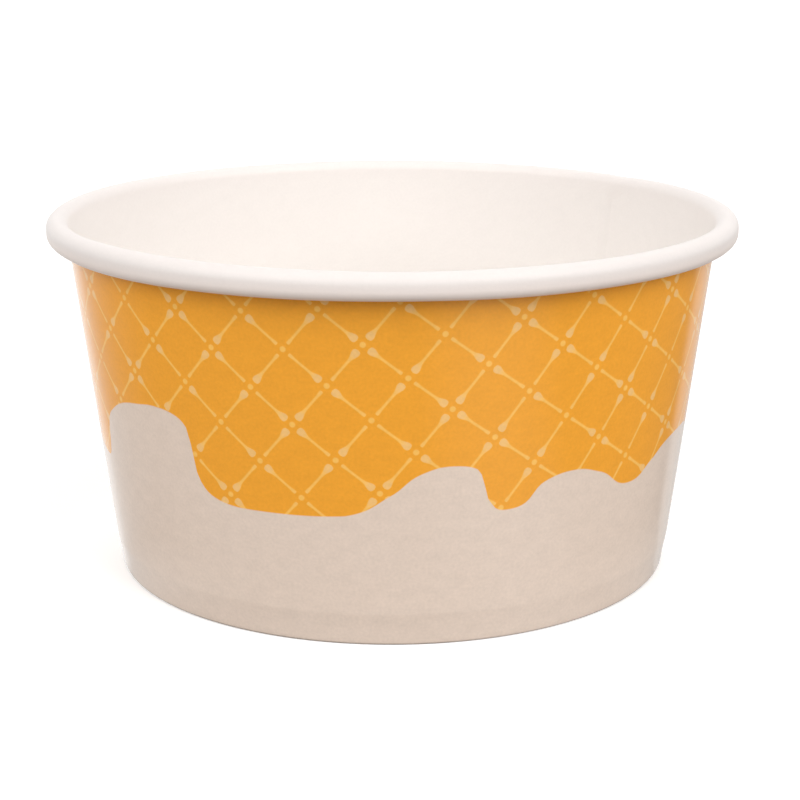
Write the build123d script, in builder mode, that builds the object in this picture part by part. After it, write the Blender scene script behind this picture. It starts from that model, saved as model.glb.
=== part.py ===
"""Paper ice cream bowl: a rolled side wall with a curled rim, and a recessed bottom disc.

The axis of the bowl is Z, the table is the plane z = 0, and lengths are in millimetres.
Each blank of board is drawn as the middle line of its section, then given its thickness and revolved.
The bends of that line are arcs, divided into straight runs so that each run becomes a plain cone.
"""

import os
from math import acos, asin, atan2, ceil, cos, degrees, hypot, radians, sin, tan

from build123d import *

os.makedirs("parts", exist_ok=True)

# Overall sizes
rim_diameter = 115.0
foot_diameter = 94.4
height = 59.7

# Board of the two blanks, the film of coating that seals one to the other,
# and how far a straight run may stray from the arc of a bend
wall_board = 0.45
disc_board = 0.40
seal_film = 0.05
bend_stray = 0.09

# Rolled rim: its width, the straight stretch on its outside, the gap between one turn and the next,
# and how far the cut edge is tucked round inside, in degrees
roll_width = 3.75
roll_flat = 0.8
turn_gap = 0.15
tuck_turn = 120.0

# Foot: the wall is turned in and up as a hem, around the skirt of the disc,
# and both cut edges stop short of the bends they point at
hem_height = 5.0
hem_clearance = 0.4
skirt_clearance = 0.45
fold_inner_radius = 0.08
disc_bend_inner_radius = 0.6

# Lap seam of the wall: its place in degrees from +X towards +Y, the width of the lap,
# and the width over which the outer ply climbs onto the inner one
seam_angle = 36.0
lap_width = 8.0
climb_width = 2.5
overrun = 0.1

# Middle line of the rim: three turns, each one board and one gap tighter than the last
top_turn_radius = (roll_width - wall_board) / 2
low_turn_radius = top_turn_radius - (wall_board + turn_gap) / 2
tuck_turn_radius = low_turn_radius - (wall_board + turn_gap) / 2
roll_height = wall_board + top_turn_radius + roll_flat + low_turn_radius
roll_centre_radius = (rim_diameter - wall_board) / 2 - top_turn_radius
roll_centre_height = height - wall_board / 2 - top_turn_radius

# Middle line of the wall: from the corner of the foot, tangent to the first turn of the rim
foot_corner_radius = (foot_diameter - wall_board) / 2
foot_corner_height = wall_board / 2
reach = roll_centre_radius - foot_corner_radius
rise = roll_centre_height - foot_corner_height
wall_lean = atan2(reach, rise) - asin(top_turn_radius / hypot(reach, rise))
wall_top = (
    roll_centre_radius - top_turn_radius * cos(wall_lean),
    roll_centre_height + top_turn_radius * sin(wall_lean),
)

# Layers of the foot, by their distance inward from the middle line of the wall, and their levels
skirt_inset = (wall_board + disc_board) / 2 + seal_film
hem_inset = wall_board + disc_board + 2 * seal_film
skirt_end_height = wall_board + skirt_clearance
recess_depth = hem_height + hem_clearance + disc_bend_inner_radius
disc_level = recess_depth + disc_board / 2


def beside_wall(level, distance):
    """Point at a level above the table, at a distance outward from the middle line of the wall."""
    radius = foot_corner_radius + (level - foot_corner_height) * tan(wall_lean)
    return (radius + distance / cos(wall_lean), level)


def radial_plane(angle):
    """Plane through the axis of the bowl, turned by an angle in degrees from +X towards +Y."""
    across = radians(angle)
    return Plane((0, 0, 0), x_dir=(cos(across), sin(across), 0), z_dir=(sin(across), -cos(across), 0))


def straight_runs(path):
    """Corner points of a path, with each of its bends divided into runs that stay close to the arc."""
    corners = [path @ 0]
    passed = 0
    for edge in path.edges():
        runs = 1
        if edge.geom_type == GeomType.CIRCLE:
            longest_turn = 2 * acos(max(0, 1 - bend_stray / edge.radius))
            runs = ceil(edge.length / edge.radius / longest_turn)
        for _ in range(runs):
            passed += edge.length / runs
            corners.append(path.position_at(passed, PositionMode.LENGTH))
    return corners


def wall_strip(low, high, inner, outer):
    """Strip of section that follows the wall between two levels and two distances from its middle."""
    corners = [
        beside_wall(low, inner),
        beside_wall(low, outer),
        beside_wall(high, outer),
        beside_wall(high, inner),
    ]
    Polygon(*corners, align=None)


# Side wall: hem, foot fold, wall and rolled rim, all one board
with BuildLine() as wall_path:
    sheet = FilletPolyline(
        beside_wall(hem_height, -hem_inset),
        beside_wall(foot_corner_height, -hem_inset),
        (foot_corner_radius, foot_corner_height),
        wall_top,
        radius=fold_inner_radius + wall_board / 2,
    )
    top_turn = JernArc(sheet @ 1, sheet % 1, top_turn_radius, degrees(wall_lean) - 180)
    flat = Line(top_turn @ 1, top_turn @ 1 - Vector(0, roll_flat))
    low_turn = JernArc(flat @ 1, flat % 1, low_turn_radius, -180)
    JernArc(low_turn @ 1, low_turn % 1, tuck_turn_radius, -tuck_turn)

with BuildPart() as side_wall:
    with BuildSketch(Plane.XZ):
        with BuildLine():
            Polyline(*straight_runs(wall_path.wire()))
        trace(line_width=wall_board)
    revolve(axis=Axis.Z)

    # Lap seam: the outer ply lies one board proud and ends in a cut edge
    outer_face = wall_board / 2
    inner_face = -wall_board / 2
    lap_low = fold_inner_radius + wall_board
    lap_high = height - roll_height - turn_gap
    seam_radius = beside_wall(height / 2, outer_face)[0]
    lap_start = seam_angle - degrees(lap_width / seam_radius) / 2
    lap_end = seam_angle + degrees(lap_width / seam_radius) / 2
    climb_end = lap_end + degrees(climb_width / seam_radius)
    with BuildSketch(radial_plane(lap_start)):
        wall_strip(lap_low, lap_high, outer_face - overrun, outer_face + wall_board)
    revolve(axis=Axis.Z, revolution_arc=lap_end - lap_start)

    # At the other side of the lap the outer ply climbs over the cut edge of the inner ply
    with BuildSketch(radial_plane(lap_end)):
        wall_strip(lap_low, lap_high, outer_face - overrun, outer_face + wall_board)
    with BuildSketch(radial_plane(climb_end)):
        wall_strip(lap_low, lap_high, outer_face - 2 * overrun, outer_face - overrun)
    loft(ruled=True)

    # Inside, the same climb leaves a hollow beside the cut edge of the inner ply
    hollow_low = recess_depth + disc_board
    with BuildSketch(radial_plane(lap_end)):
        wall_strip(hollow_low, lap_high, inner_face - 2 * overrun, outer_face)
    with BuildSketch(radial_plane(climb_end)):
        wall_strip(hollow_low, lap_high, inner_face - 2 * overrun, inner_face - overrun)
    loft(ruled=True, mode=Mode.SUBTRACT)
side_wall.part.label = "side_wall"

# Bottom disc: flat, with its edge bent down as a skirt between the wall and the hem
with BuildLine() as disc_path:
    FilletPolyline(
        (0, disc_level),
        beside_wall(disc_level, -skirt_inset),
        beside_wall(skirt_end_height, -skirt_inset),
        radius=disc_bend_inner_radius + disc_board / 2,
    )

with BuildPart() as bottom_disc:
    with BuildSketch(Plane.XZ):
        with BuildLine():
            Polyline(*straight_runs(disc_path.wire()))
        trace(line_width=disc_board)
    revolve(axis=Axis.Z)
bottom_disc.part.label = "bottom_disc"

for piece in (side_wall, bottom_disc):
    export_step(piece.part, f"parts/{piece.part.label}.step")
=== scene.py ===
"""Looks of the paper ice cream bowl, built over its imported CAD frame.

The side wall is one printed sheet: rolled to a cone with a lap, curled at the rim and hemmed at the foot.
The base is a second sheet with its edge turned down. Sizes of the bowl are in millimetres. Meshes, the floor
and the camera are in metres.
"""

from math import asin, atan2, cos, hypot, pi, radians, sin, tan

import bmesh
import bpy
import numpy as np
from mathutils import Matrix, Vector


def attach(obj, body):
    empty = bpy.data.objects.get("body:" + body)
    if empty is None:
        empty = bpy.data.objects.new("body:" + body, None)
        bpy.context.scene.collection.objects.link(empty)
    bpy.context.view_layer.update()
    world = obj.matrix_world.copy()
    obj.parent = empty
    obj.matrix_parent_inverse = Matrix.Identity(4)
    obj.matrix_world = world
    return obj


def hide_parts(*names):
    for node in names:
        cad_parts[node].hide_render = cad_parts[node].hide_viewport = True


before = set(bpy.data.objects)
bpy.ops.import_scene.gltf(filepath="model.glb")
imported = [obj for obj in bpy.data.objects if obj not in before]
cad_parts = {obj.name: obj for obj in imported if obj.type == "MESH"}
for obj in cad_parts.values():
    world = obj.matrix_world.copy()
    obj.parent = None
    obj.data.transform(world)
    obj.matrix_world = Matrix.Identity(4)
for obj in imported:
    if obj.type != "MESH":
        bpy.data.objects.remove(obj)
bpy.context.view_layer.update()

scene = bpy.context.scene
millimetre = 0.001
sharp_angle = radians(45)  # bends of a mesh sharper than this show as an edge
merge_distance = 0.000001  # in metres: points of the base closer than this become one

# Sizes of the two sheets, as in the CAD part
rim_diameter = 115.0
foot_diameter = 94.4
height = 59.7
wall_board = 0.45
disc_board = 0.40
seal_film = 0.05
roll_width = 3.75
roll_flat = 0.8
turn_gap = 0.15
tuck_turn = radians(120)
hem_height = 5.0
recess_depth = 6.0
skirt_end_height = 0.9
fold_radius = 0.305
disc_bend_radius = 0.8

# Band of the foot that the crimping jaws press in
crimp_height = 5.2
crimp_depth = 0.25  # at the fold
crimp_power = 2.0  # the press levels off towards the fold by this power
crimp_bend = 0.8  # width of the bend at the top of the band

# Ribs that the crimping wheel leaves on the hem
knurl_ribs = 83
knurl_depth = 0.24
knurl_start = (0.7, 1.6)  # levels between which the ribs grow to their depth

# Lap of the wall, in degrees from the front (-Y) towards +X
outer_end = -238.5  # the sheet starts here, on top, and runs behind and round by the left
climb_start = -229.5  # from climb_end to here the outer ply climbs over the end of the inner one
climb_end = -226.7
inner_end = 130.5  # the sheet ends here, under the lap
ply_gap = 0.02
rolled_share = 0.22  # how proud the outer ply lies in the roll, as a share of one board
folded_share = 0.03  # the same in the foot fold
fold_rise = 2.0  # height above the fold at which the outer ply lies fully proud
roll_ease = (4.0, 1.0)  # distances below the roll between which it eases to its share there
thinned_span = 5.0  # degrees over which the inner end is pressed thin, where the lap is sealed
thinned_depth = 0.33

# Slight unevenness of rolled board: depth, waves round the wall, and phase of each ripple
ripples = [(0.05, 3, 0.4), (0.035, 5, 2.1), (0.02, 11, 1.0)]

# Sag of the base between two radii, and the ring that the seaming tool presses into it
sag_depth = 0.30
sag_radii = (8.0, 43.0)
ring_depth = 0.07
ring_radius = 42.5
ring_width = 0.8

# Columns of the meshes round the axis
lap_columns = 10
climb_columns = 11
plain_columns = 331
base_columns = 181

# Middle line of the wall, tangent to the first turn of the rim
top_turn_radius = (roll_width - wall_board) / 2
low_turn_radius = top_turn_radius - (wall_board + turn_gap) / 2
tuck_turn_radius = low_turn_radius - (wall_board + turn_gap) / 2
roll_centre_radius = (rim_diameter - wall_board) / 2 - top_turn_radius
roll_centre_height = height - wall_board / 2 - top_turn_radius
foot_corner_radius = (foot_diameter - wall_board) / 2
foot_corner_height = wall_board / 2
reach = roll_centre_radius - foot_corner_radius
rise = roll_centre_height - foot_corner_height
tangent_angle = asin(top_turn_radius / hypot(reach, rise))
lean = atan2(reach, rise) - tangent_angle
wall_length = hypot(reach, rise) * cos(tangent_angle)

# Flat blank of the wall: a fan, whose apex lies this far below the foot along the slope
fan_radius = (foot_corner_radius + wall_board / 2 * cos(lean)) / sin(lean)


def beside_wall(level, distance):
    """Point at a level above the table, at a distance outward from the middle line of the wall."""
    radius = foot_corner_radius + (level - foot_corner_height) * tan(lean)
    return np.array([radius + distance / cos(lean), level])


def follow(start, heading, course):
    """Points along the middle of a sheet, the direction of its right side, and the length passed.

    Each stretch of the course is (length, turn, steps), and a turn to the left is positive.
    """
    point = np.array(start, float)
    facing = heading
    passed = 0.0
    points = [point]
    sides = [(sin(facing), -cos(facing))]
    lengths = [passed]
    for length, turn, steps in course:
        for _ in range(steps):
            half_turn = turn / steps / 2
            chord = length / steps * np.sinc(half_turn / pi)
            point = point + chord * np.array([cos(facing + half_turn), sin(facing + half_turn)])
            facing += 2 * half_turn
            passed += length / steps
            points.append(point)
            sides.append((sin(facing), -cos(facing)))
            lengths.append(passed)
    return np.array(points), np.array(sides), np.array(lengths)


def smooth_step(low, high, value):
    """Rises from 0 at low to 1 at high, level at both ends."""
    share = np.clip((value - low) / (high - low), 0, 1)
    return share * share * (3 - 2 * share)


def pressed_in(level):
    """How far the crimping jaws press the layers of the foot in, at a level above the table."""
    return crimp_depth * (1 - np.clip(level / crimp_height, 0, 1) ** crimp_power)


def turned_grid(radius, level, around):
    """Grid of points at radii and levels, turned round the axis by angles from the front towards +X."""
    along_x = radius * np.sin(around)
    along_y = -radius * np.cos(around)
    return np.stack(np.broadcast_arrays(along_x, along_y, level), axis=2)


def flat_grid(lengths, angles):
    """Grid of places on a flat blank, at lengths from its centre and angles round it."""
    outward = lengths[:, None]
    return np.stack([outward * np.sin(angles), outward * np.cos(angles)], axis=2)


def quads(grid):
    """Corners of the four-sided faces of a grid of values, one row of four for each face."""
    corners = [grid[:-1, :-1], grid[:-1, 1:], grid[1:, 1:], grid[1:, :-1]]
    stacked = np.stack(corners, axis=2)
    return stacked.reshape(-1, 4, *grid.shape[2:])


def bake_patch(shape, low, high):
    """Even grid of points over a patch of the bake map, for a grid of that shape."""
    across = np.linspace(low[0], high[0], shape[1])
    up = np.linspace(low[1], high[1], shape[0])
    return np.stack(np.meshgrid(across, up), axis=2)


def make_piece(name, faces_of_sheet, patches, flat, materials):
    """Mesh object of a sheet from the points of its two faces.

    Each patch is a grid of point numbers, its low and high corners on the bake map and the number of its
    material in the list. Both faces have the same places on the flat blank.
    """
    points = np.concatenate([grid.reshape(-1, 3) for grid in faces_of_sheet])
    blank = np.tile(flat.reshape(-1, 2), (len(faces_of_sheet), 1))
    faces = np.concatenate([quads(grid) for grid, _, _ in patches])
    bake = np.concatenate([quads(bake_patch(grid.shape, *shares)) for grid, shares, _ in patches])
    slots = np.concatenate([np.full(len(quads(grid)), slot) for grid, _, slot in patches])
    mesh = bpy.data.meshes.new(name)
    mesh.from_pydata((points * millimetre).tolist(), [], faces.tolist())
    mesh.uv_layers.new(name="OFBake").data.foreach_set("uv", bake.reshape(-1).astype(np.float32))
    mesh.uv_layers.new(name="blank").data.foreach_set("uv", blank[faces].reshape(-1).astype(np.float32))
    mesh.polygons.foreach_set("material_index", slots.astype(np.int32))
    for material in materials:
        mesh.materials.append(material)
    mesh.shade_smooth()
    mesh.set_sharp_from_angle(angle=sharp_angle)
    piece = bpy.data.objects.new(name, mesh)
    scene.collection.objects.link(piece)
    return piece


# Sockets of the Mix node that carry colours
mix_first = 6
mix_second = 7
mix_result = 2


def connect(tree, source, socket):
    """Links a socket to an output, or sets it to a plain value."""
    if isinstance(source, bpy.types.NodeSocket):
        tree.links.new(source, socket)
    else:
        socket.default_value = source


def maths(tree, operation, *sources, clamp=False):
    """Output of a Math node."""
    node = tree.nodes.new("ShaderNodeMath")
    node.operation = operation
    node.use_clamp = clamp
    for source, socket in zip(sources, node.inputs):
        connect(tree, source, socket)
    return node.outputs[0]


def blend(tree, share, first, second):
    """Colour between two colours, by a share from 0 to 1."""
    node = tree.nodes.new("ShaderNodeMix")
    node.data_type = "RGBA"
    connect(tree, share, node.inputs["Factor"])
    connect(tree, first, node.inputs[mix_first])
    connect(tree, second, node.inputs[mix_second])
    return node.outputs[mix_result]


def curve(tree, points, source):
    """Output of a Float Curve node that passes through the given points."""
    node = tree.nodes.new("ShaderNodeFloatCurve")
    line = node.mapping.curves[0]
    for place in points[2:]:
        line.points.new(*place)
    for knot, place in zip(line.points, points):
        knot.location = place
        knot.handle_type = "AUTO_CLAMPED"
    node.mapping.update()
    connect(tree, source, node.inputs["Value"])
    return node.outputs["Value"]


def noise(tree, coordinates, scale=1.0, detail=2.0):
    """Level of a Noise Texture, from 0 to 1."""
    node = tree.nodes.new("ShaderNodeTexNoise")
    node.inputs["Scale"].default_value = scale
    node.inputs["Detail"].default_value = detail
    connect(tree, coordinates, node.inputs["Vector"])
    return node.outputs["Fac"]


def vector_maths(tree, operation, first):
    """Vector Math node with its first vector linked."""
    node = tree.nodes.new("ShaderNodeVectorMath")
    node.operation = operation
    connect(tree, first, node.inputs[0])
    return node


def scaled(tree, coordinates, factors):
    """Coordinates times a factor for each axis."""
    node = vector_maths(tree, "MULTIPLY", coordinates)
    node.inputs[1].default_value = factors
    return node.outputs[0]


def vector_length(tree, vector):
    """Length of a vector."""
    return vector_maths(tree, "LENGTH", vector).outputs["Value"]


def across_and_along(tree, vector):
    """First two parts of a vector."""
    node = tree.nodes.new("ShaderNodeSeparateXYZ")
    connect(tree, vector, node.inputs[0])
    return node.outputs["X"], node.outputs["Y"]


def soft_edge(tree, inside, width):
    """Share from 0 outside a shape to 1 inside it, over a soft edge of that width."""
    return maths(tree, "ADD", maths(tree, "DIVIDE", inside, width), 0.5, clamp=True)


def new_material(name, roughness):
    """Material with a Principled shader, and the two of its parts that the rest is linked to."""
    material = bpy.data.materials.new(name)
    material.use_nodes = True
    tree = material.node_tree
    shader = tree.nodes["Principled BSDF"]
    shader.inputs["Roughness"].default_value = roughness
    return material, tree, shader


def add_bump(tree, shader, level, depth):
    """Bump from a level, where a step of 1 stands that many metres high."""
    node = tree.nodes.new("ShaderNodeBump")
    node.inputs["Distance"].default_value = depth
    connect(tree, level, node.inputs["Height"])
    tree.links.new(node.outputs["Normal"], shader.inputs["Normal"])


def blank_coordinates(tree):
    """Place on the flat blank, in millimetres."""
    node = tree.nodes.new("ShaderNodeUVMap")
    node.uv_map = "blank"
    return node.outputs["UV"]


def slope_height(tree, blank):
    """Height up the slope of the wall from the foot, in millimetres, at a place on the flat blank."""
    return maths(tree, "SUBTRACT", vector_length(tree, blank), fan_radius)


# Colours, linear
orange = (0.885, 0.374, 0.035, 1)
stroke_orange = (0.96, 0.555, 0.13, 1)
drop_beige = (0.90, 0.56, 0.22, 1)
cream = (0.755, 0.62, 0.522, 1)
# Painted light: a lighter white low in the bowl, where less light reaches
painted_light_white = (0.81, 0.766, 0.728, 1)
board_white = (0.766, 0.72, 0.69, 1)
board_shade = (0.742, 0.693, 0.657, 1)
# Painted shade: the roll of the rim is painted darker than the wall's white, to hold back the light its top
# catches
roll_painted_shade = (0.735, 0.678, 0.648, 1)
# Painted light: warm light bounced off the orange wall onto the underside of the roll
painted_bounce_colour = (0.90, 0.745, 0.655, 1)
cut_board = (0.80, 0.74, 0.67, 1)
pure_white = (1, 1, 1, 1)

# Surfaces: roughness, strength of the grain, and height of the fibres in metres
print_roughness = 0.12
wall_roughness = 0.38
base_roughness = 0.42
cut_roughness = 0.85
print_grain_share = 0.30
white_grain_share = 0.10
cut_grain_share = 0.35
fibre_height = 0.000012
cut_fibre_height = 0.00004
varnish_index = 1.45
uneven_share = 0.5  # swing of a board's roughness, as a share of its level

# Noise in the boards: its scale for places in millimetres, and its detail
speckle_scale = 2.0
speckle_detail = 3.0
speckle_share = 0.6  # the rest of the grain is mottle
mottle_scales = (0.35, 0.55, 0.35)
shade_scales = (0.03, 0.05, 0.03)
cut_scale = 1.5

# Painted light and shade in the white along the wall
painted_light_width = 22.0  # the white is painted lighter low down, where less light reaches, and this painted light fades out over this width below the top of the wall
painted_bounce_place = 6.5  # painted light: warm light bounced off the orange wall, painted under the roll past this distance from the top of the wall
painted_bounce_width = 4.0

# Lattice of the print on the flat blank, in millimetres
crossing = (-34.12, 50.78)  # one crossing of its lines, from the front and from the foot
step_down = (6.493, -5.081)  # steps along its two sets of lines
step_up = (5.319, 6.582)
drop_at_far_end = [0, 0, 1, 0, 1]  # which end of a stroke has the drop, in a cycle of steps down
up_cycle = 2  # along the steps up the drop changes ends at each step
dot_radius = 0.45
print_edge = 0.18
least_width = 0.02  # half width below which a stroke isn't printed
drop_width = 0.2  # half width past which a stroke turns beige
drop_gain = 3.0  # how fast it turns beige, for each millimetre
ink_share = 0.85  # the rest is the orange that shows through the ink

# Half width of a stroke from its drop, at the start, to its plain end, by share of the step
stroke_shape = [
    (0, 0),
    (0.115, 0),
    (0.135, 0.36),
    (0.195, 0.62),
    (0.26, 0.50),
    (0.38, 0.23),
    (0.46, 0.195),
    (0.70, 0.195),
    (0.83, 0.28),
    (0.862, 0.22),
    (0.872, 0),
    (1, 0),
]

# Edge between the orange and the cream: angle from the front in degrees, and height up the slope
wave_edge = [
    (-100, 24.6),
    (-97, 23.4),
    (-90, 22.0),
    (-82, 24.0),
    (-75, 22.8),
    (-68, 22.0),
    (-65, 25.9),
    (-63.2, 29.7),
    (-60, 31.7),
    (-57, 33.0),
    (-54, 33.8),
    (-50.5, 34.3),
    (-45, 34.9),
    (-40.5, 34.5),
    (-37.6, 33.0),
    (-35.6, 24.6),
    (-31.4, 21.7),
    (-24, 21.1),
    (-8, 21.5),
    (0, 25.0),
    (5.6, 28.6),
    (10, 29.5),
    (14.3, 28.9),
    (17, 23.4),
    (20, 21.7),
    (23, 22.1),
    (27.3, 25.5),
    (33, 26.5),
    (39.4, 25.2),
    (48.5, 21.7),
    (54.8, 23.8),
    (61, 26.0),
    (69.5, 26.6),
    (80, 24.6),
]
wave_start = wave_edge[0][0]
wave_period = wave_edge[-1][0] - wave_start  # the edge repeats after this angle
wave_scale = 60.0  # the height that the top of the curve node stands for


def lattice_place(tree, across, along):
    """Place on the lattice, in steps down and in steps up from one crossing."""
    spread = step_down[0] * step_up[1] - step_down[1] * step_up[0]
    from_across = maths(tree, "SUBTRACT", across, crossing[0])
    from_along = maths(tree, "SUBTRACT", along, fan_radius + crossing[1])
    down_across = maths(tree, "MULTIPLY", from_across, step_up[1] / spread)
    down_along = maths(tree, "MULTIPLY", from_along, step_up[0] / spread)
    up_along = maths(tree, "MULTIPLY", from_along, step_down[0] / spread)
    up_across = maths(tree, "MULTIPLY", from_across, step_down[1] / spread)
    return maths(tree, "SUBTRACT", down_across, down_along), maths(tree, "SUBTRACT", up_along, up_across)


def off_crossing(tree, place, step):
    """Distance along a step from the nearest crossing, in millimetres."""
    from_crossing = maths(tree, "SUBTRACT", place, maths(tree, "ROUND", place))
    return maths(tree, "MULTIPLY", from_crossing, hypot(*step))


def place_in_cycle(tree, place, cycle):
    """Count of whole steps, which starts from 0 again after each cycle."""
    return maths(tree, "FLOORED_MODULO", maths(tree, "FLOOR", place), cycle)


def drop_end(tree, down):
    """End of a stroke along the steps down that has the drop: 0 for its start, 1 for its far end."""
    cycle = len(drop_at_far_end)
    ramp = tree.nodes.new("ShaderNodeValToRGB")
    ramp.color_ramp.interpolation = "CONSTANT"
    stops = ramp.color_ramp.elements
    for count, far in enumerate(drop_at_far_end):
        place = max(0, count - 0.5) / cycle
        stop = stops.new(place) if count > 1 else stops[count]
        stop.position = place
        stop.color = (far, far, far, 1)
    connect(tree, maths(tree, "DIVIDE", place_in_cycle(tree, down, cycle), cycle), ramp.inputs[0])
    return ramp.outputs[0]


def stroke(tree, place, far_end, off_line):
    """Half width at this place on a stroke, and the share of ink there."""
    from_start = maths(tree, "FRACT", place)
    from_drop = maths(tree, "ABSOLUTE", maths(tree, "SUBTRACT", from_start, far_end))
    half_width = curve(tree, stroke_shape, from_drop)
    inside = maths(tree, "SUBTRACT", half_width, maths(tree, "ABSOLUTE", off_line))
    inked = maths(tree, "GREATER_THAN", half_width, least_width)
    return half_width, maths(tree, "MULTIPLY", soft_edge(tree, inside, print_edge), inked)


def lattice_colour(tree, across, along):
    """Orange field with its lattice of strokes, drops and dots."""
    down, up = lattice_place(tree, across, along)
    off_down = off_crossing(tree, down, step_down)
    off_up = off_crossing(tree, up, step_up)
    width_down, ink_down = stroke(tree, down, drop_end(tree, down), off_up)
    width_up, ink_up = stroke(tree, up, place_in_cycle(tree, up, up_cycle), off_down)
    squares = [maths(tree, "MULTIPLY", off, off) for off in (off_down, off_up)]
    from_crossing = maths(tree, "SQRT", maths(tree, "ADD", *squares))
    dot = soft_edge(tree, maths(tree, "SUBTRACT", dot_radius, from_crossing), print_edge)
    ink = maths(tree, "MAXIMUM", maths(tree, "MAXIMUM", ink_down, ink_up), dot)
    inked_down = maths(tree, "MULTIPLY", width_down, ink_down)
    inked_up = maths(tree, "MULTIPLY", width_up, ink_up)
    past_line = maths(tree, "SUBTRACT", maths(tree, "MAXIMUM", inked_down, inked_up), drop_width)
    drop_share = maths(tree, "MULTIPLY", past_line, drop_gain, clamp=True)
    ink_colour = blend(tree, drop_share, stroke_orange, drop_beige)
    return blend(tree, maths(tree, "MULTIPLY", ink, ink_share), orange, ink_colour)


def wave_height(tree, across, along):
    """Height up the slope of the edge between the orange and the cream, at a place on the flat blank."""
    turn = maths(tree, "DIVIDE", maths(tree, "ARCTAN2", across, along), radians(1) * sin(lean))
    from_start = maths(tree, "SUBTRACT", turn, wave_start)
    period_share = maths(tree, "FRACT", maths(tree, "DIVIDE", from_start, wave_period))
    knots = [((angle - wave_start) / wave_period, level / wave_scale) for angle, level in wave_edge]
    return maths(tree, "MULTIPLY", curve(tree, knots, period_share), wave_scale)


def printed_colour(tree):
    """Colour of the print on the flat blank: cream below the wave edge, and the lattice above it."""
    blank = blank_coordinates(tree)
    across, along = across_and_along(tree, blank)
    below_edge = maths(tree, "SUBTRACT", wave_height(tree, across, along), slope_height(tree, blank))
    lattice = lattice_colour(tree, across, along)
    return blend(tree, soft_edge(tree, below_edge, print_edge), lattice, cream)


def board_grain(tree, colour, strength):
    """Colour with the fine speckle and the wider mottle of coated board, and the level of the speckle."""
    blank = blank_coordinates(tree)
    speckle = noise(tree, blank, speckle_scale, speckle_detail)
    mottle = noise(tree, scaled(tree, blank, mottle_scales))
    mottle = maths(tree, "MULTIPLY", mottle, 1 - speckle_share)
    level = maths(tree, "ADD", maths(tree, "MULTIPLY", speckle, speckle_share), mottle)
    swing = maths(tree, "MULTIPLY", maths(tree, "SUBTRACT", level, 0.5), strength)
    grained = vector_maths(tree, "SCALE", colour)
    connect(tree, maths(tree, "ADD", swing, 1.0), grained.inputs["Scale"])
    return grained.outputs[0], speckle


def finish_board(material, tree, shader, colour, strength, depth):
    """Gives a board its colour with grain, a faint fibre bump, and a gloss that is uneven with the fibres."""
    grained, speckle = board_grain(tree, colour, strength)
    tree.links.new(grained, shader.inputs["Base Color"])
    level = shader.inputs["Roughness"].default_value
    uneven = maths(tree, "MULTIPLY_ADD", speckle, level * uneven_share, level * (1 - uneven_share / 2))
    tree.links.new(uneven, shader.inputs["Roughness"])
    add_bump(tree, shader, speckle, depth)
    return material


def make_print():
    """Printed and varnished face of the wall."""
    material, tree, shader = new_material("printed_face", print_roughness)
    shader.inputs["IOR"].default_value = varnish_index
    colour = printed_colour(tree)
    return finish_board(material, tree, shader, colour, print_grain_share, fibre_height)


def make_white(name, roughness):
    """White board with painted light and shade: painted lighter low down, painted darker on the roll of the
    rim, and painted warm bounce light from the orange wall under the roll.
    """
    material, tree, shader = new_material(name, roughness)
    blank = blank_coordinates(tree)
    past_wall = maths(tree, "SUBTRACT", slope_height(tree, blank), wall_length)
    # Masks of the painted light: lighter low down, and a warm bounce under the roll
    painted_light_fade = soft_edge(tree, maths(tree, "ADD", past_wall, painted_light_width / 2), painted_light_width)
    painted_bounce_share = soft_edge(tree, maths(tree, "SUBTRACT", past_wall, painted_bounce_place), painted_bounce_width)
    colour = blend(tree, noise(tree, scaled(tree, blank, shade_scales)), board_white, board_shade)
    # Painted light: the white is painted lighter low down in the bowl
    colour = blend(tree, painted_light_fade, painted_light_white, colour)
    # Painted shade: the roll of the rim is painted darker
    colour = blend(tree, soft_edge(tree, past_wall, roll_width), colour, roll_painted_shade)
    # Painted light: warm bounce off the orange wall, painted under the roll
    colour = blend(tree, painted_bounce_share, colour, painted_bounce_colour)
    return finish_board(material, tree, shader, colour, white_grain_share, fibre_height)


def make_cut_edge():
    """Raw edge of cut board."""
    material, tree, shader = new_material("cut_edge", cut_roughness)
    colour = blend(tree, noise(tree, blank_coordinates(tree), cut_scale), cut_board, board_shade)
    return finish_board(material, tree, shader, colour, cut_grain_share, cut_fibre_height)


printed_face = make_print()
white_face = make_white("white_face", wall_roughness)
# The base lies wholly in the painted lighter white low down
base_face = make_white("base_face", base_roughness)
cut_edge = make_cut_edge()

# Side wall: the course of its section from the cut edge of the hem to the cut edge inside the roll
hem_inset = wall_board + disc_board + 2 * seal_film
hem_top = beside_wall(hem_height, -hem_inset)
hem_corner = beside_wall(foot_corner_height, -hem_inset)
hem_turn = pi / 2 + lean
foot_turn = pi / 2 - lean
hem_tangent = fold_radius * tan(hem_turn / 2)
foot_tangent = fold_radius * tan(foot_turn / 2)
hem_run = (hem_height - foot_corner_height) / cos(lean) - hem_tangent
foot_run = foot_corner_radius - hem_corner[0] - hem_tangent - foot_tangent
hem_steps = 8
crimp_run = (crimp_height - foot_corner_height) / cos(lean) - foot_tangent - crimp_bend / 2
wall_course = [
    (hem_run, 0, hem_steps),
    (fold_radius * hem_turn, hem_turn, 6),
    (foot_run, 0, 1),
    (fold_radius * foot_turn, foot_turn, 6),
    (crimp_run, 0, 5),
    (crimp_bend, 0, 2),
    (wall_length - foot_tangent - crimp_run - crimp_bend, 0, 36),
    (top_turn_radius * (pi - lean), lean - pi, 14),
    (roll_flat, 0, 1),
    (low_turn_radius * pi, -pi, 14),
    (tuck_turn_radius * tuck_turn, -tuck_turn, 8),
]
wall_line, wall_side, wall_passed = follow(hem_top, -pi / 2 - lean, wall_course)
foot_passed = hem_run + fold_radius * hem_turn + foot_run + fold_radius * foot_turn - foot_tangent
slope_place = wall_passed - foot_passed

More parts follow.
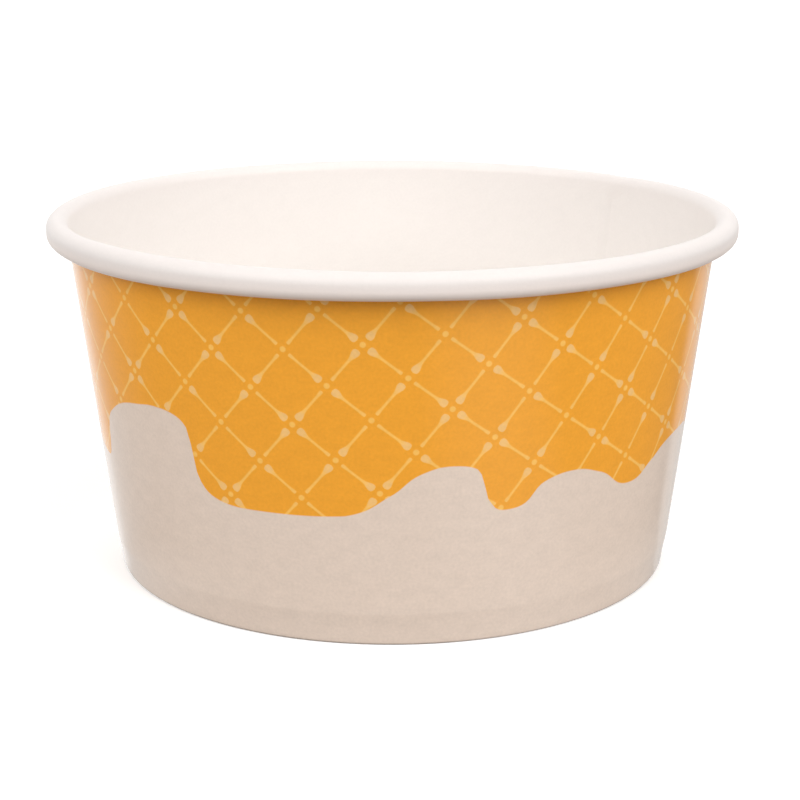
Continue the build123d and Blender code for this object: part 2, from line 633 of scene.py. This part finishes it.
# Columns round the wall, closer together where the outer ply climbs
lap_turns = np.linspace(outer_end, climb_start, lap_columns)
climb_turns = np.linspace(climb_start, climb_end, climb_columns)
plain_turns = np.linspace(climb_end, inner_end, plain_columns)
turns = np.concatenate([lap_turns, climb_turns[1:], plain_turns[1:]])
wall_angles = np.radians(turns)[None, :]

# How far the sheet lies outward: one board at the lap, less in the fold and the roll, and a slight ripple
above_fold = smooth_step(0, fold_rise, slope_place)
near_roll = smooth_step(wall_length - roll_ease[0], wall_length - roll_ease[1], slope_place)
ply_share = folded_share + (1 - folded_share) * above_fold - (1 - rolled_share) * near_roll
lift = (1 - smooth_step(climb_start, climb_end, turns)) * (wall_board + ply_gap)
ripple = sum(depth * np.sin(waves * wall_angles + phase) for depth, waves, phase in ripples)
sway = smooth_step(0, wall_length, slope_place)
shift = ply_share[:, None] * lift[None, :] + ripple * sway[:, None]

# Ribs on the hem, which bulge towards the axis
on_hem = smooth_step(*knurl_start, wall_line[:, 1]) * (np.arange(len(wall_line)) <= hem_steps)
knurl = knurl_depth * on_hem[:, None] * (1 + np.sin(knurl_ribs * wall_angles)) / 2


def wall_points(offset):
    """Grid of points on one face of the sheet, at an offset towards its printed side."""
    level = wall_line[:, 1:] + wall_side[:, 1:] * (offset + shift)
    radius = wall_line[:, :1] + wall_side[:, :1] * (offset + shift) - pressed_in(level) - knurl
    return turned_grid(radius, level, wall_angles)


# Faces and cut edges of the wall, with the low and high corners of each on the bake map
printed_shares = ((0.01, 0.01), (0.99, 0.60))
white_shares = ((0.01, 0.62), (0.99, 0.96))
hem_edge_shares = ((0.01, 0.965), (0.99, 0.97))
roll_edge_shares = ((0.01, 0.975), (0.99, 0.98))
outer_edge_shares = ((0.01, 0.985), (0.49, 0.99))
inner_edge_shares = ((0.51, 0.985), (0.99, 0.99))
white_offset = thinned_depth * smooth_step(inner_end - thinned_span, inner_end, turns) - wall_board / 2
printed = np.arange(len(wall_line) * len(turns)).reshape(len(wall_line), len(turns))
white = printed + printed.size
wall = make_piece(
    "paper_wall",
    [wall_points(wall_board / 2), wall_points(white_offset)],
    [
        (printed, printed_shares, 0),
        (white[:, ::-1], white_shares, 1),
        (np.stack([white[0], printed[0]]), hem_edge_shares, 2),
        (np.stack([printed[-1], white[-1]]), roll_edge_shares, 2),
        (np.stack([printed[:, 0], white[:, 0]]), outer_edge_shares, 2),
        (np.stack([white[:, -1], printed[:, -1]]), inner_edge_shares, 2),
    ],
    flat_grid(fan_radius + slope_place, np.radians(turns) * sin(lean)),
    [printed_face, white_face, cut_edge],
)
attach(wall, "root")
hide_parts("side_wall")

# Base: from its centre outward, then down as a skirt between the wall and the hem
skirt_inset = (wall_board + disc_board) / 2 + seal_film
disc_level = recess_depth + disc_board / 2
bend_turn = pi / 2 + lean
bend_tangent = disc_bend_radius * tan(bend_turn / 2)
disc_run = beside_wall(disc_level, -skirt_inset)[0] - bend_tangent
skirt_run = (disc_level - skirt_end_height) / cos(lean) - bend_tangent
base_course = [
    (disc_run, 0, 24),
    (disc_bend_radius * bend_turn, -bend_turn, 8),
    (skirt_run, 0, 4),
]
base_line, base_side, base_passed = follow((0, disc_level), 0, base_course)
base_angles = np.radians(np.linspace(-180, 180, base_columns))[None, :]
sag = -sag_depth * (1 - smooth_step(*sag_radii, base_passed))
ring = -ring_depth * np.exp(-(((base_passed - ring_radius) / ring_width) ** 2))


def base_points(offset):
    """Grid of points on one face of the base, at an offset towards its underside."""
    level = base_line[:, 1:] + base_side[:, 1:] * offset + (sag + ring)[:, None]
    radius = base_line[:, :1] + base_side[:, :1] * offset - pressed_in(level)
    return turned_grid(radius, level, base_angles)


# Faces and cut edge of the base, with the low and high corners of each on the bake map
under_shares = ((0.01, 0.01), (0.99, 0.48))
over_shares = ((0.01, 0.51), (0.99, 0.96))
skirt_edge_shares = ((0.01, 0.97), (0.99, 0.98))
under = np.arange(len(base_line) * base_columns).reshape(len(base_line), base_columns)
over = under + under.size
base = make_piece(
    "paper_base",
    [base_points(disc_board / 2), base_points(-disc_board / 2)],
    [
        (under, under_shares, 0),
        (over[:, ::-1], over_shares, 0),
        (np.stack([under[-1], over[-1]]), skirt_edge_shares, 1),
    ],
    flat_grid(base_passed, base_angles),
    [base_face, cut_edge],
)
joined = bmesh.new()
joined.from_mesh(base.data)
bmesh.ops.remove_doubles(joined, verts=joined.verts, dist=merge_distance)
joined.to_mesh(base.data)
joined.free()
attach(base, "root")
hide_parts("bottom_disc")

# Floor, in metres: white to the camera, with pale cards on it that only reflections see
floor_size = 12
floor_roughness = 0.9
floor_glow = 0.12  # added for the camera, so that the floor is white
bounce_grey = (0.34, 0.34, 0.34, 1)
reflected_grey = (0.14, 0.14, 0.14, 1)

# Cards on both sides, which brighten with the slant back from a corner beside the foot
card_corner = (0.0387, -0.022)
least_aside = 0.001
left_card_gain = 0.6
left_card_level = 0.95
right_card_gain = 4.0
right_card_start = 3.7
right_card_level = 0.55

# Dimmer card in front on the right: its middle, half its spread and its level
sheen_turn = radians(30)
sheen_spread = radians(22)
sheen_level = 0.5

# Bright floor close by the foot: how far it reaches, where it starts on each side, and its soft edge
near_radius = 0.058
near_side = 0.034
near_fade = 0.014
near_left_level = 0.58
near_right_level = 0.36


def side_cards(tree, across, along, on_right):
    """Light of the cards on both sides, by the slant from their corner back and outward."""
    aside = maths(tree, "SUBTRACT", maths(tree, "ABSOLUTE", across), card_corner[0])
    aside = maths(tree, "MAXIMUM", aside, least_aside)
    slant = maths(tree, "DIVIDE", maths(tree, "SUBTRACT", along, card_corner[1]), aside)
    left = maths(tree, "MINIMUM", maths(tree, "MULTIPLY", slant, left_card_gain), left_card_level)
    right = maths(tree, "MULTIPLY_ADD", slant, right_card_gain, -right_card_start, clamp=True)
    right = maths(tree, "MULTIPLY", right, right_card_level)
    lit_right = maths(tree, "MULTIPLY", on_right, right)
    lit_left = maths(tree, "MULTIPLY", maths(tree, "SUBTRACT", 1.0, on_right), left)
    return maths(tree, "MAXIMUM", maths(tree, "ADD", lit_right, lit_left), 0.0)


def front_card(tree, across, along):
    """Light of the dimmer card in front on the right."""
    turned = maths(tree, "ARCTAN2", across, maths(tree, "MULTIPLY", along, -1.0))
    off_card = maths(tree, "DIVIDE", maths(tree, "SUBTRACT", turned, sheen_turn), sheen_spread)
    off_card = maths(tree, "MULTIPLY", off_card, off_card)
    return maths(tree, "MULTIPLY_ADD", off_card, -sheen_level, sheen_level, clamp=True)


def near_card(tree, position, across, on_right):
    """Light of the floor close by the foot, on both sides."""
    inside = maths(tree, "SUBTRACT", near_radius, vector_length(tree, position))
    aside = maths(tree, "SUBTRACT", maths(tree, "ABSOLUTE", across), near_side)
    share = maths(tree, "MULTIPLY", soft_edge(tree, inside, near_fade), soft_edge(tree, aside, near_fade))
    level = maths(tree, "MULTIPLY_ADD", on_right, near_right_level - near_left_level, near_left_level)
    return maths(tree, "MULTIPLY", share, level)


def make_floor_material():
    """Matt floor that takes shadows, with the cards that only reflections see."""
    material, tree, shader = new_material("floor", floor_roughness)
    shader.inputs["Specular IOR Level"].default_value = 0
    shader.inputs["Emission Color"].default_value = pure_white
    rays = tree.nodes.new("ShaderNodeLightPath").outputs
    position = tree.nodes.new("ShaderNodeNewGeometry").outputs["Position"]
    across, along = across_and_along(tree, position)
    on_right = maths(tree, "GREATER_THAN", across, 0.0)
    far_cards = maths(tree, "ADD", side_cards(tree, across, along, on_right), front_card(tree, across, along))
    cards = maths(tree, "MAXIMUM", far_cards, near_card(tree, position, across, on_right))
    cards = maths(tree, "MULTIPLY", cards, rays["Is Glossy Ray"])
    glow = maths(tree, "MULTIPLY", rays["Is Camera Ray"], floor_glow)
    tree.links.new(maths(tree, "ADD", cards, glow), shader.inputs["Emission Strength"])
    colour = blend(tree, rays["Is Glossy Ray"], bounce_grey, reflected_grey)
    colour = blend(tree, rays["Is Camera Ray"], colour, pure_white)
    tree.links.new(colour, shader.inputs["Base Color"])
    return material


bpy.ops.mesh.primitive_plane_add(size=floor_size)
floor = bpy.context.object
floor.name = "floor"
floor.data.materials.append(make_floor_material())

# World: soft light from all round
soft_light = 0.48


def make_world():
    """World that lights softly, and is white to the camera and in reflections."""
    world = bpy.data.worlds.new("studio")
    world.use_nodes = True
    tree = world.node_tree
    background = tree.nodes["Background"]
    background.inputs["Color"].default_value = pure_white
    rays = tree.nodes.new("ShaderNodeLightPath").outputs
    seen = maths(tree, "MAXIMUM", rays["Is Camera Ray"], rays["Is Glossy Ray"])
    seen = maths(tree, "MAXIMUM", seen, rays["Is Transmission Ray"])
    strength = maths(tree, "ADD", maths(tree, "MULTIPLY", seen, 1 - soft_light), soft_light)
    tree.links.new(strength, background.inputs["Strength"])
    return world


scene.world = make_world()

# Lamps: name, turn from the front towards +X, angle up from the floor and spread in degrees, and strength
lamps = [
    ("right_light", 55, 34, 50, 2.18),
    ("left_light", -54, 34, 50, 1.84),
    ("back_light", 180, 18, 60, 1.3),
]


def add_lamp(name, turn, up_angle, spread, strength):
    """Wide soft lamp, far off, that reflections don't show."""
    lamp = bpy.data.lights.new(name, "SUN")
    lamp.angle = radians(spread)
    lamp.energy = strength
    holder = bpy.data.objects.new(name, lamp)
    holder.rotation_euler = (radians(90 - up_angle), 0, radians(turn))
    holder.visible_glossy = False
    scene.collection.objects.link(holder)


for lamp_values in lamps:
    add_lamp(*lamp_values)

# Camera, in metres, with its lens in millimetres
lens_length = 83.87
sensor_width = 36
camera_place = (0.00130, -0.31112, 0.11090)
camera_target = (0.00130, 0, 0.02596)
lens = bpy.data.cameras.new("camera")
lens.lens = lens_length
lens.sensor_width = sensor_width
camera = bpy.data.objects.new("camera", lens)
camera.location = camera_place
aim = Vector(camera_target) - camera.location
camera.rotation_euler = aim.to_track_quat("-Z", "Y").to_euler()
scene.collection.objects.link(camera)
scene.camera = camera

scene.view_settings.view_transform = "Standard"
